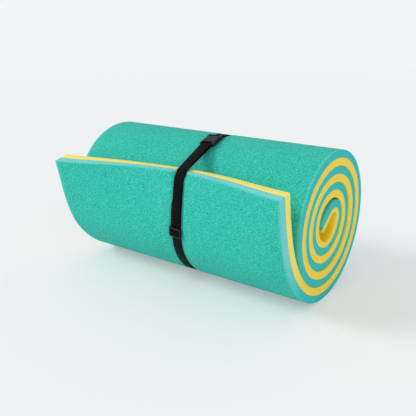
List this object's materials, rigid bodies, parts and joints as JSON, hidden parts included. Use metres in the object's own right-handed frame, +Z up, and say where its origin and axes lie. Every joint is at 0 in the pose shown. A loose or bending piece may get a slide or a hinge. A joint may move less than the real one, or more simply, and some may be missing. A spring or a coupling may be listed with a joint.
{
  "type": "swim float mat",
  "caption": "Roll-up closed-cell foam swim float mat in two bonded colours, rolled and held by a webbing strap with side-release buckle.",
  "frame": {"origin": "middle of the rolled mat's length and depth, on the plane that it rests on", "axes": "+X along the roll towards the end that shows the winding, -Y towards the side where the free end stands up, +Z up"},
  "size_m": [0.5038, 0.3382, 0.2779],
  "materials": {
    "outer_foam": "closed-cell polyethylene foam, cut edges with open cells",
    "inner_foam": "closed-cell polyethylene foam, cut edges with open cells",
    "webbing": "plain woven polypropylene webbing",
    "buckle_plastic": "fine moulded satin"
  },
  "bodies": {
    "rolled_mat": {"outer_foam_ply": "outer_foam", "inner_foam_ply": "inner_foam", "strap_webbing": "webbing", "buckle_socket": "buckle_plastic", "buckle_plug": "buckle_plastic"},
    "left_latch": {"left_latch_arm": "buckle_plastic"},
    "right_latch": {"right_latch_arm": "buckle_plastic"},
    "slider": {"tri_glide_slider": "buckle_plastic"}
  },
  "joints": [
    {"name": "left_latch_press", "type": "hinge", "parent": "rolled_mat", "child": "left_latch", "pos_m": [0.01235, -0.01845, 0.26784], "axis": [0, 0.1884, -0.9821], "range_deg": [0, 8], "stiffness_Nm_per_rad": 0.3},
    {"name": "right_latch_press", "type": "hinge", "parent": "rolled_mat", "child": "right_latch", "pos_m": [0.02969, -0.01549, 0.26841], "axis": [0, -0.1884, 0.9821], "range_deg": [0, 8], "stiffness_Nm_per_rad": 0.3},
    {"name": "slider_travel", "type": "slide", "parent": "rolled_mat", "child": "slider", "axis": [0.1169, -0.1526, 0.9813], "range_m": [-0.012, 0.012], "deforming": ["strap_webbing"]}
  ]
}
